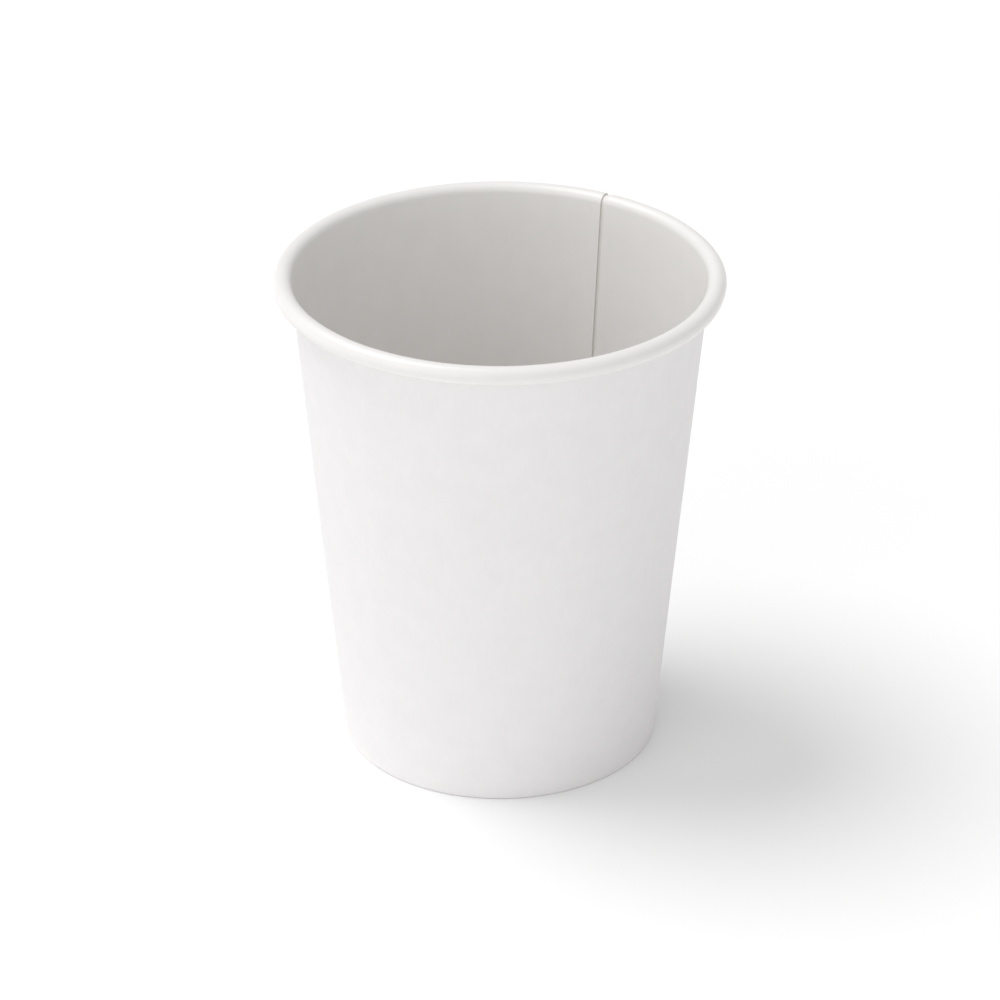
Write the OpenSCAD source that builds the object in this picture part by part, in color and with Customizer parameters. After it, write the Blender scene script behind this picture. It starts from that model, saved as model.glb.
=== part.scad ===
// Single-wall paper cup for cold or hot drinks, about 0.18 litre.
// It is made of two pieces of coated paperboard: a side wall and a base.
// The cup stands on its foot, mouth up, with +Z along its axis and the table at z = 0.

/* [Cup] */
// Diameter over the rolled rim
rim_d = 70; // [64:1:90]
// Height from the table to the top of the rim
cup_h = 80; // [60:1:120]
// Diameter of the foot where it meets the table
foot_d = 50; // [44:1:56]

/* [Paperboard] */
// Thickness of the side wall's board
wall_board = 0.3; // [0.2:0.05:0.4]
// Thickness of the base's board
base_board = 0.3; // [0.2:0.05:0.4]
// Thickness of the melted coating in each sealed joint
seal = 0.02; // [0.01:0.01:0.05]

/* [Side seam] */
// Width of the overlap, halfway up the wall
lap_w = 7; // [4:0.5:12]
// Width over which the outer layer climbs onto the inner one
climb_w = 1.2; // [0.8:0.1:3]
// Direction of the inner layer's cut edge, anticlockwise from +X
seam_az = 60; // [0:5:355]

/* [Rolled rim] */
// Diameter of the bead
bead_d = 2.9; // [2.4:0.1:4.5]
// How far the curl goes on after its first three quarters of a turn
tuck_angle = 130; // [60:5:170]
// Gap between the tucked end of the curl and the wall
curl_gap = 0.1; // [0.05:0.05:0.4]

/* [Foot and base] */
// Height of the base's upper face over the table
base_h = 5.5; // [4:0.5:10]
// Outer radius of the bend between the base and its skirt
bend_r = 0.8; // [0.5:0.1:1.5]
// Distance from the bend down to the cut edge of the hem
hem_drop = 0.4; // [0.1:0.1:1]
// Radius of the two corners of the fold under the skirt
fold_r = 0.3; // [0.1:0.05:0.45]
// Number of flutes that the crimping wheel would roll round a whole hem
flutes = 90; // [60:2:96]
// Radius of the teeth of that wheel
tooth_r = 0.65; // [0.4:0.05:0.7]

/* [Hidden] */
$fn = 144;

// The most that a chord of a section may stray from its arc
arc_error = 0.01;

// The drinking side of the wall runs up tangent to the bead, whose centre this is
bead_r = bead_d / 2;
bead_c = [rim_d / 2 - bead_r, cup_h - bead_r];

// Lean of the wall, set by the foot's outer corner and the bead
reach = bead_c - [foot_d / 2, 0];
lean = atan(reach.x / reach.y) - asin((bead_r - wall_board) / norm(reach));
up = [sin(lean), cos(lean)];

// Point of the wall's inner face at the level of the table
wall_foot = [foot_d / 2 - wall_board / cos(lean), 0];

// The pocket between the wall and its hem, which holds the skirt of the base
pocket = base_board + 2 * seal;
hem_top = base_h - bend_r - hem_drop;

// Angles of the seam. The inner layer ends at angle 0, which the outer one climbs before it,
// and both layers lie between there and lap_angle.
wall_mid_r = (wall_foot.x + bead_c.x - bead_r) / 2;
lap_angle = lap_w / wall_mid_r * 180 / PI;
climb_angle = climb_w / wall_mid_r * 180 / PI;
climb_steps = 3;
// Neighbouring sectors of the wall share this small angle, so that they are one sheet
knit = 0.05;

// The flutes go halfway into the hem, and start above the corners of its fold
flute_depth = wall_board / 2;
flute_start = 3 * fold_r;
tooth_angle = asin(tooth_r / (wall_foot.x - tooth_r));

// The skirt ends over the fold, which is two layers thick at the seam
skirt_end = 2 * wall_board + seal;

// Points of an arc about c, from angle a0 to angle a1
function arc(c, r, a0, a1) =
    let (n = ceil(abs(a1 - a0) / (2 * acos(1 - arc_error / r))))
    [for (i = [0:n]) c + r * [cos(a0 + (a1 - a0) * i / n), sin(a0 + (a1 - a0) * i / n)]];

// Point at height z on the line that lies a distance d outside the wall's inner face
function on_wall(d, z) = [wall_foot.x + d / cos(lean) + z * tan(lean), z];

// An outline without any point that repeats the one before it
function clean(p) = [for (i = [0:len(p) - 1]) if (i == 0 || norm(p[i] - p[max(i - 1, 0)]) > 1e-4) p[i]];

// Part of the bead's outline about c, with points at its top and its outermost side
function roll(c, r, a0, a1) = concat(arc(c, r, a0, 0), arc(c, r, 0, 90), arc(c, r, 90, a1));

// Section of the folded and rolled side wall, where the board is so thick in all
// and its coated face lies lift away from where it lies beside the seam.
// A second layer ends inside the rim after three quarters of a turn.
module sheet_section(lift, thick) {
    far = lift + thick;
    tuck_r = bead_r - far - curl_gap;
    tuck_c = bead_c - (bead_r - lift - tuck_r) * up;
    a_wall = 180 - lean;
    a_low = -90 - lean;
    a_end = a_low - tuck_angle;
    fold = min(fold_r, (far + pocket + far) / 2);
    outer_corner = on_wall(far, fold) - [fold / cos(lean), 0];
    inner_corner = on_wall(-pocket - far, fold) + [fold / cos(lean), 0];
    // Round the curl from its tucked end, down inside the cup and up behind the skirt
    coated_face = concat(
        arc(tuck_c, tuck_r, a_end, a_low),
        roll(bead_c, bead_r - lift, a_low, a_wall),
        [on_wall(lift, thick), on_wall(-pocket - lift, thick), on_wall(-pocket - lift, hem_top)]
    );
    // Down the recess side of the hem, round the fold, up the outside and into the curl
    plain_face = concat(
        [on_wall(-pocket - far, hem_top)],
        arc(inner_corner, fold, a_wall, 270),
        arc(outer_corner, fold, -90, -lean),
        arc(bead_c, bead_r - far, a_wall, a_low),
        arc(tuck_c, tuck_r - wall_board, a_low, a_end)
    );
    polygon(clean(concat(coated_face, plain_face)));
}

// The bar that cuts one flute at angle a, in a hem whose recess side lies a distance far
// inside the pocket. It is long enough to pass the hem's cut edge.
module flute_bar(a, far) {
    foot = on_wall(flute_depth - pocket - far - tooth_r, flute_start);
    rotate([0, 0, seam_az + a])
        translate([foot.x, 0, foot.y])
            rotate([0, lean, 0])
                cylinder(r = tooth_r, h = hem_top);
}

// The sheet from angle a0 to angle a1, anticlockwise from the inner layer's cut edge,
// with every flute of the hem that lies clear of its ends.
module sheet_sector(a0, a1, lift, thick) {
    difference() {
        rotate([0, 0, seam_az + a0])
            rotate_extrude(angle = a1 - a0)
                sheet_section(lift, thick);
        for (i = [0:flutes - 1]) {
            a = (i + 0.5) * 360 / flutes;
            if (a > a0 + tooth_angle && a < a1 - tooth_angle) flute_bar(a, lift + thick);
        }
    }
}

// One blank, wrapped round with its ends sealed over each other,
// its top edge rolled outwards and its lower edge folded in under the base.
module side_wall() {
    climb_step = climb_angle / climb_steps;
    color("whitesmoke") {
        sheet_sector(lap_angle - knit, 360 - climb_angle, 0, wall_board);
        for (i = [0:climb_steps - 1])
            sheet_sector(
                -climb_angle + i * climb_step - knit,
                -climb_angle + (i + 1) * climb_step,
                wall_board * (i + 0.5) / climb_steps,
                wall_board
            );
        sheet_sector(-knit, lap_angle, 0, 2 * wall_board);
    }
}

// A disc with its edge turned down into a skirt, which the wall and its crimped hem clamp.
module base_disc() {
    bend_c = on_wall(-seal, base_h - bend_r) - [bend_r / cos(lean), 0];
    color("gainsboro")
        rotate_extrude()
            polygon(concat(
                [[0, base_h]],
                arc(bend_c, bend_r, 90, -lean),
                [on_wall(-seal, skirt_end), on_wall(-seal - base_board, skirt_end)],
                arc(bend_c, bend_r - base_board, -lean, 90),
                [[0, base_h - base_board]]
            ));
}

side_wall();
base_disc();
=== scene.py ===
import math
import bmesh
import bpy
from mathutils import Matrix, Vector, noise


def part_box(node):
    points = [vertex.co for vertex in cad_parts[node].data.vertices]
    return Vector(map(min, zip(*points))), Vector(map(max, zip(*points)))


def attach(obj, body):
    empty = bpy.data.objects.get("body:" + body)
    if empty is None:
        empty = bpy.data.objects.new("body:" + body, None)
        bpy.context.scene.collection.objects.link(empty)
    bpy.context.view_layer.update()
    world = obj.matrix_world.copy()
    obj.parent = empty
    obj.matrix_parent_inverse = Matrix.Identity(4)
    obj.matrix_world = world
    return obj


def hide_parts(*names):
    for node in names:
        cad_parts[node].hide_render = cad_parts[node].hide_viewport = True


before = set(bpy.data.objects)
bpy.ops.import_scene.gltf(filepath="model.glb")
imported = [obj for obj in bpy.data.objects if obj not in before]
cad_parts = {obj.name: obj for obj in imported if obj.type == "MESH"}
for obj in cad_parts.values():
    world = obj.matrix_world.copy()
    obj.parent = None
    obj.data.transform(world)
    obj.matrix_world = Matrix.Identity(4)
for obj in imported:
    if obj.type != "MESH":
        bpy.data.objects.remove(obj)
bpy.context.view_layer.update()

# Side wall
# One fan-shaped blank of coated paperboard, wrapped round with its ends sealed over each other.
# Its top edge is rolled outwards into the rim, and its lower edge is folded in as a hem.
mm = 0.001
rim_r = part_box("side_wall")[1].x
cup_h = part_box("side_wall")[1].z
base_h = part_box("base_disc")[1].z
foot_r = 25 * mm
board = 0.3 * mm
seal = 0.02 * mm
bead_r = 1.45 * mm
curl_gap = 0.1 * mm
tuck_angle = math.radians(130)
fold_bend = 0.2 * mm
bend_r = 0.8 * mm
hem_drop = 0.4 * mm
hem_top = base_h - bend_r - hem_drop
pocket = board + 2 * seal
seam_direction = math.radians(60)
lap_angle = math.radians(14)
climb_angle = math.radians(2.5)
turn_step = math.radians(0.5)

# The wall leans so that its coated face meets the bead without a kink.
bead_centre = Vector((rim_r - bead_r, cup_h - bead_r))
reach = bead_centre - Vector((foot_r, 0))
lean = math.atan2(reach.x, reach.y) - math.asin((bead_r - board) / reach.length)
along = Vector((math.sin(lean), math.cos(lean)))


def beside_wall(distance, height):
    """The point at a height on the line that lies a distance outside the wall's coated face."""
    return Vector((foot_r + (distance - board) / math.cos(lean) + height * math.tan(lean), height))


def arc(centre, radius, start, end, steps):
    """The points of an arc, both ends included."""
    angles = [start + (end - start) * step / steps for step in range(steps + 1)]
    return [centre + radius * Vector((math.cos(angle), math.sin(angle))) for angle in angles]


# The places of the blank's points in millimetres, closer together near its bends:
# on the hem below its cut edge, and on the wall above the table.
hem_places = (0, 0.3, 0.9, 1.6, 2.3, 3, 3.4)
wall_places = (1.2, 2.2, 3.4, 4.6, 6, 9, 16, 28, 42, 56, 68, 75)


def blank_section(over, under):
    """The middle of the board, from the hem's cut edge to the curl's.

    over is 1 where it lies on the other end of the blank, and under is 1 where it lies beneath it.
    """
    half = board / 2
    lift = over * (board + seal)
    bottom = half + under * board
    tuck_r = bead_r - board * (1 + max(over, under)) - curl_gap - lift
    tuck_centre = bead_centre - (bead_r - lift - tuck_r) * along
    bend = fold_bend / math.cos(lean)
    hem_corner = beside_wall(-pocket - lift - half, bottom + fold_bend) + Vector((bend, 0))
    wall_corner = beside_wall(lift + half, bottom + fold_bend) - Vector((bend, 0))
    wall_side = math.pi - lean
    low_side = -math.pi / 2 - lean
    hem = [beside_wall(-pocket - lift - half, hem_top - drop * mm) for drop in hem_places]
    wall = [beside_wall(lift + half, height * mm) for height in wall_places]
    return (
        hem
        + arc(hem_corner, fold_bend, wall_side, 1.5 * math.pi, steps=3)
        + arc(wall_corner, fold_bend, -math.pi / 2, -lean, steps=3)
        + wall
        + arc(bead_centre, bead_r - lift - half, wall_side, low_side, steps=20)
        + arc(tuck_centre, tuck_r - half, low_side, low_side - tuck_angle, steps=6)[1:]
    )


def smooth_step(value):
    """Rises from 0 to 1 while the value does, without a kink at either end."""
    value = min(max(value, 0), 1)
    return value * value * (3 - 2 * value)


# The board springs a little wherever it is free, in long and shallow waves.
wave_depth = 0.16 * mm
wave_height = 60 * mm
waves_across = 2.6
spring_height = 15 * mm


def waves(angle, height):
    """How far the board lies inside its true cone, at a place on the wall."""
    spring = wave_depth * smooth_step((height - base_h) / spring_height)
    place = Vector((math.cos(angle), math.sin(angle), height / wave_height))
    return spring * (0.5 - 0.5 * noise.noise(place * waves_across))


# Each row of the flat blank is bent to the section and turned to its place. The ends settle over
# each other, and the rim isn't quite even. The hem takes the ridges of the crimping wheel, which
# fade out over its first and last two places.
ridges = 90
ridge_depth = 0.15 * mm
ridge_fade = 2
rim_waves = 5
rim_drop = 0.06 * mm
rim_reach = 6 * mm
top_of_wall = wall_places[-1] * mm
alone = blank_section(0, 0)
turns = round((math.tau + lap_angle) / turn_step)
blank = bmesh.new()
bmesh.ops.create_grid(blank, x_segments=len(alone) - 1, y_segments=turns, size=foot_r)
blank.verts.ensure_lookup_table()
for turn in range(turns + 1):
    angle = turn * turn_step
    over = smooth_step((angle - math.tau + climb_angle) / climb_angle)
    under = 1 - smooth_step((angle - lap_angle) / climb_angle)
    settled = blank_section(over, under) if over or under else alone
    ridge = ridge_depth * (0.5 + 0.5 * math.cos(ridges * angle))
    round_rim = Vector((math.cos(angle), math.sin(angle), 0)) * rim_waves
    drop = rim_drop * (0.5 - 0.5 * noise.noise(round_rim))
    turned = Matrix.Rotation(angle + seam_direction, 3, "Z")
    for place, point in enumerate(settled):
        grip = smooth_step(place / ridge_fade) * smooth_step((len(hem_places) - place) / ridge_fade)
        inward = ridge * grip + waves(angle, min(point.y, top_of_wall))
        down = drop * smooth_step((point.y - top_of_wall) / rim_reach + 1)
        vertex = blank.verts[turn * len(alone) + place]
        vertex.co = turned @ Vector((point.x - inward, 0, point.y - down))


def fibre_pattern():
    """The cloudy formation and the fibres of paperboard, as a shader group."""
    group = bpy.data.node_groups.new("board fibres", "ShaderNodeTree")
    for name, kind in (("Run", "Vector"), ("Cloudiness", "Float"), ("Bent Beyond", "Float")):
        group.interface.new_socket(name, in_out="INPUT", socket_type="NodeSocket" + kind)
    for name in ("Tone", "Relief"):
        group.interface.new_socket(name, in_out="OUTPUT", socket_type="NodeSocketFloat")
    make, link = group.nodes.new, group.links.new
    given, result = make("NodeGroupInput"), make("NodeGroupOutput")
    place, stretch = make("ShaderNodeTexCoord"), make("ShaderNodeVectorMath")
    stretch.operation = "MULTIPLY"
    link(place.outputs["Object"], stretch.inputs[0])
    link(given.outputs["Run"], stretch.inputs[1])
    fibres, clouds = make("ShaderNodeTexNoise"), make("ShaderNodeTexNoise")
    fibres.inputs["Scale"].default_value = 1500
    fibres.inputs["Detail"].default_value = 6
    fibres.inputs["Roughness"].default_value = 0.68
    clouds.inputs["Scale"].default_value = 260
    clouds.inputs["Detail"].default_value = 4
    link(stretch.outputs[0], fibres.inputs["Vector"])
    link(place.outputs["Object"], clouds.inputs["Vector"])
    tone = make("ShaderNodeMix")
    link(given.outputs["Cloudiness"], tone.inputs["Factor"])
    link(fibres.outputs["Fac"], tone.inputs["A"])
    link(clouds.outputs["Fac"], tone.inputs["B"])
    spread = make("ShaderNodeMapRange")
    spread.inputs["From Min"].default_value = 0.3
    spread.inputs["From Max"].default_value = 0.7
    link(tone.outputs["Result"], spread.inputs["Value"])
    link(spread.outputs["Result"], result.inputs["Tone"])
    # Fine wrinkles run over the board wherever it is bent, beyond a given radius of the cup.
    flat_place, from_axis = make("ShaderNodeVectorMath"), make("ShaderNodeVectorMath")
    round_cup, wrinkles = make("ShaderNodeVectorMath"), make("ShaderNodeTexNoise")
    flat_place.operation = "MULTIPLY"
    flat_place.inputs[1].default_value = (1, 1, 0)
    from_axis.operation = "LENGTH"
    round_cup.operation = "NORMALIZE"
    wrinkles.inputs["Scale"].default_value = 75
    wrinkles.inputs["Detail"].default_value = 2
    link(place.outputs["Object"], flat_place.inputs[0])
    link(flat_place.outputs["Vector"], from_axis.inputs[0])
    link(flat_place.outputs["Vector"], round_cup.inputs[0])
    link(round_cup.outputs["Vector"], wrinkles.inputs["Vector"])
    past_bend, bent = make("ShaderNodeMath"), make("ShaderNodeMapRange")
    past_bend.operation = "SUBTRACT"
    bent.interpolation_type = "SMOOTHSTEP"
    bent.inputs["From Max"].default_value = 0.8 * mm
    bent.inputs["To Max"].default_value = 3
    link(from_axis.outputs["Value"], past_bend.inputs[0])
    link(given.outputs["Bent Beyond"], past_bend.inputs[1])
    link(past_bend.outputs["Value"], bent.inputs["Value"])
    relief = make("ShaderNodeMath")
    relief.operation = "MULTIPLY_ADD"
    link(wrinkles.outputs["Fac"], relief.inputs[0])
    link(bent.outputs["Result"], relief.inputs[1])
    link(fibres.outputs["Fac"], relief.inputs[2])
    link(relief.outputs["Value"], result.inputs["Relief"])
    return group


board_fibres = fibre_pattern()


def board_surface(name, pale, dark, roughness, run, cloudiness, depth, coat=0, bent_beyond=1):
    """A finish of paperboard: its tone varies from dark to pale, and its fibres stand depth high."""
    material = bpy.data.materials.new(name)
    material.use_nodes = True
    nodes, link = material.node_tree.nodes, material.node_tree.links.new
    surface = nodes["Principled BSDF"]
    surface.inputs["Coat Weight"].default_value = coat
    surface.inputs["Coat Roughness"].default_value = 0.22
    fibres = nodes.new("ShaderNodeGroup")
    fibres.node_tree = board_fibres
    fibres.inputs["Run"].default_value = run
    fibres.inputs["Cloudiness"].default_value = cloudiness
    fibres.inputs["Bent Beyond"].default_value = bent_beyond
    colour = nodes.new("ShaderNodeMix")
    colour.data_type = "RGBA"
    colour.inputs["A"].default_value = (*dark, 1)
    colour.inputs["B"].default_value = (*pale, 1)
    link(fibres.outputs["Tone"], colour.inputs["Factor"])
    link(colour.outputs["Result"], surface.inputs["Base Color"])
    polish = nodes.new("ShaderNodeMapRange")
    polish.inputs["To Min"].default_value = roughness + 0.06
    polish.inputs["To Max"].default_value = roughness - 0.06
    link(fibres.outputs["Tone"], polish.inputs["Value"])
    link(polish.outputs["Result"], surface.inputs["Roughness"])
    relief = nodes.new("ShaderNodeBump")
    relief.inputs["Strength"].default_value = 0.5
    relief.inputs["Distance"].default_value = depth
    link(fibres.outputs["Relief"], relief.inputs["Height"])
    link(relief.outputs["Normal"], surface.inputs["Normal"])
    return material


up_the_wall = (1, 1, 0.3)
coated_wall = board_surface(
    "coated wall", (0.86, 0.845, 0.828), (0.835, 0.819, 0.801), 0.4, up_the_wall,
    0.7, 0.01 * mm, coat=0.25, bent_beyond=bead_centre.x,
)
bare_wall = board_surface(
    "bare wall", (0.865, 0.852, 0.851), (0.828, 0.814, 0.813), 0.66, up_the_wall,
    0.5, 0.02 * mm,
)
cut_edge = board_surface(
    "cut edge", (0.84, 0.8, 0.75), (0.74, 0.69, 0.63), 0.9, (1, 1, 1),
    0.2, 0.05 * mm,
)


def thicken(sheet, name, finishes):
    """Gives a sheet its full thickness, and the finishes of its two faces and its cut edges."""
    middle = bpy.data.meshes.new(name)
    sheet.to_mesh(middle)
    sheet.free()
    middle.shade_smooth()
    for finish in finishes:
        middle.materials.append(finish)
    piece = bpy.data.objects.new(name, middle)
    bpy.context.collection.objects.link(piece)
    thickness = piece.modifiers.new("board thickness", "SOLIDIFY")
    thickness.thickness = board
    thickness.offset = 0
    thickness.use_even_offset = True
    thickness.material_offset = 1
    thickness.material_offset_rim = 2
    finished = piece.evaluated_get(bpy.context.evaluated_depsgraph_get())
    piece.data = bpy.data.meshes.new_from_object(finished)
    piece.data.name = name
    piece.data.set_sharp_from_angle(angle=math.radians(40))
    piece.modifiers.clear()
    return piece


side_wall = thicken(blank, "side_wall_board", (coated_wall, bare_wall, cut_edge))
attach(side_wall, "root")
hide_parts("side_wall")

# Base
# One disc of coated paperboard with its edge turned down into a skirt. The skirt stands in the
# hem and is sealed to it and to the wall, which holds the base clear of the table.
skirt_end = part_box("base_disc")[0].z + board / 2 * math.sin(lean)
middle_of_skirt = -seal - board / 2
bend_centre = beside_wall(-seal, base_h - bend_r) - Vector((bend_r / math.cos(lean), 0))
skirt_places = (3.6, 2.4, 1.4)
flat_rings = 12
flat = [
    Vector((bend_centre.x * ring / flat_rings, base_h - board / 2))
    for ring in range(flat_rings)
]
base_section = (
    flat
    + arc(bend_centre, bend_r - board / 2, math.pi / 2, -lean, steps=6)
    + [beside_wall(middle_of_skirt, height * mm) for height in skirt_places]
    + [beside_wall(middle_of_skirt, skirt_end)]
)
disc = bmesh.new()
section = [disc.verts.new((point.x, 0, point.y)) for point in base_section]
section += [disc.edges.new(pair) for pair in zip(section, section[1:])]
bmesh.ops.spin(disc, geom=section, axis=(0, 0, 1), angle=math.tau, steps=720, use_merge=True)
bmesh.ops.remove_doubles(disc, verts=disc.verts, dist=0.001 * mm)
bmesh.ops.recalc_face_normals(disc, faces=disc.faces)

# The disc is drawn down a little in its middle, and pleats run over the bend from the skirt.
dish = 0.12 * mm
pleat_depth = 0.035 * mm
pleat_run = 1.2 * mm
pleat_foot = base_h - 1.1 * mm
pleat_rise = 0.5 * mm
pleat_counts = (83, 97, 71)
for vertex in disc.verts:
    distance = vertex.co.xy.length
    angle = math.atan2(vertex.co.y, vertex.co.x)
    share = min(distance / bend_centre.x, 1)
    pleats = sum(math.cos(count * angle + count) for count in pleat_counts) / len(pleat_counts)
    near_bend = smooth_step((distance - bend_centre.x) / pleat_run + 1)
    on_top = smooth_step((vertex.co.z - pleat_foot) / pleat_rise)
    vertex.co.z -= dish * (1 - share * share) + pleat_depth * near_bend * on_top * (0.5 + 0.5 * pleats)
across_the_base = (0.3, 1, 1)
coated_base = board_surface(
    "coated base", (0.85, 0.835, 0.82), (0.82, 0.805, 0.79), 0.42, across_the_base,
    0.6, 0.012 * mm, coat=0.2, bent_beyond=bend_centre.x,
)
bare_base = board_surface(
    "bare base", (0.84, 0.82, 0.8), (0.79, 0.77, 0.75), 0.75, across_the_base,
    0.5, 0.03 * mm,
)
base_disc = thicken(disc, "base_board", (coated_base, bare_base, cut_edge))
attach(base_disc, "root")
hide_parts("base_disc")

# Setting
# A plain white table under soft studio light from the upper left. The camera looks down by 28
# degrees from 0.71 m, as in the photograph, through a long lens that fills the frame with the cup.
table = bmesh.new()
bmesh.ops.create_grid(table, x_segments=1, y_segments=1, size=3)
table_mesh = bpy.data.meshes.new("table_top")
table.to_mesh(table_mesh)
table.free()
table_top = bpy.data.objects.new("table_top", table_mesh)
bpy.context.collection.objects.link(table_top)
paint = bpy.data.materials.new("white table")
paint.use_nodes = True
paint.node_tree.nodes["Principled BSDF"].inputs["Base Color"].default_value = (0.97, 0.97, 0.97, 1)
paint.node_tree.nodes["Principled BSDF"].inputs["Specular IOR Level"].default_value = 0
table_mesh.materials.append(paint)

studio = bpy.data.worlds.new("studio")
bpy.context.scene.world = studio
studio.use_nodes = True
room = studio.node_tree
room.nodes["Background"].inputs["Color"].default_value = (1, 1, 1, 1)
seen = room.nodes.new("ShaderNodeLightPath")
glow = room.nodes.new("ShaderNodeMapRange")
glow.inputs["To Min"].default_value = 0.6
glow.inputs["To Max"].default_value = 1
room.links.new(seen.outputs["Is Camera Ray"], glow.inputs["Value"])
room.links.new(glow.outputs["Result"], room.nodes["Background"].inputs["Strength"])
cup_middle = Vector((0, 0, cup_h / 2))


def soft_light(name, place, spread, strength):
    """A wide, distant studio light that shines from a place towards the cup."""
    lamp = bpy.data.lights.new(name, "SUN")
    lamp.angle = math.radians(spread)
    lamp.energy = strength
    light = bpy.data.objects.new(name, lamp)
    light.location = place
    light.rotation_euler = (cup_middle - light.location).to_track_quat("-Z", "Y").to_euler()
    bpy.context.collection.objects.link(light)


soft_light("key", (-1.25, 0.4, 2.5), 36, 1.42)
soft_light("fill", (-1.6, -2.2, 0.9), 60, 0.6)

camera = bpy.data.objects.new("camera", bpy.data.cameras.new("camera"))
camera.data.sensor_width = 36
camera.data.angle = math.radians(12.7)
height_angle = math.radians(28)
distance = 0.71
camera.location = cup_middle + distance * Vector((0, -math.cos(height_angle), math.sin(height_angle)))
camera.rotation_euler = (cup_middle - camera.location).to_track_quat("-Z", "Y").to_euler()
camera.data.clip_start = 0.01
bpy.context.collection.objects.link(camera)
bpy.context.scene.camera = camera
bpy.context.scene.view_settings.view_transform = "Standard"
